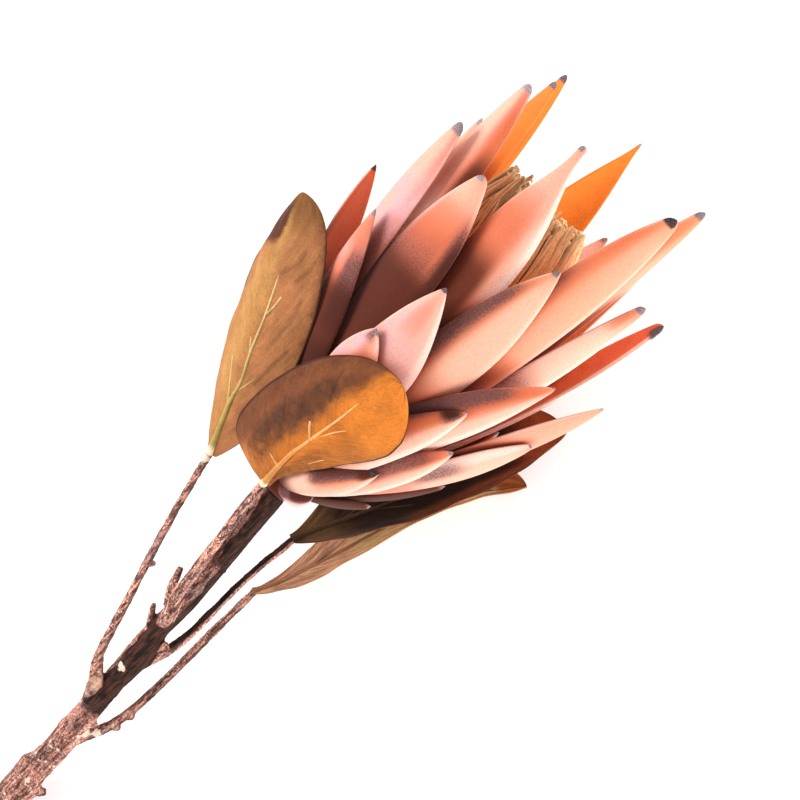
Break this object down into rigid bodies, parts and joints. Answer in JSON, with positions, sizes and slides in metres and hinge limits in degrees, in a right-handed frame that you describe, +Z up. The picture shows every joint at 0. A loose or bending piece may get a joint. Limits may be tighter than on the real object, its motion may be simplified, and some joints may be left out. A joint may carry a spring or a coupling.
{
  "type": "king protea flower",
  "caption": "King protea flower head on a woody stem with leaves, cut and lying down, with pointed bracts round a brush of florets.",
  "frame": {"origin": "centre of the box's underside, on the surface that the flower lies on", "axes": "+X from the cut end of the stem to the tips of the bracts, +Z up from the surface"},
  "size_m": [0.3514, 0.1268, 0.1022],
  "materials": {
    "stem": "rough mottled bark",
    "bracts": "velvety, pale pink with dark tips",
    "florets": "matte golden strands",
    "leaf_left": "matte cloth, tan brown",
    "leaf_front": "matte cloth, brown to orange",
    "leaf_right": "matte cloth, dark brown",
    "leaf_under": "matte cloth, light tan"
  },
  "bodies": {
    "root": {"stem": "stem", "bracts": "bracts", "florets": "florets", "leaf_left": "leaf_left", "leaf_front": "leaf_front", "leaf_right": "leaf_right", "leaf_under": "leaf_under"}
  },
  "joints": []
}
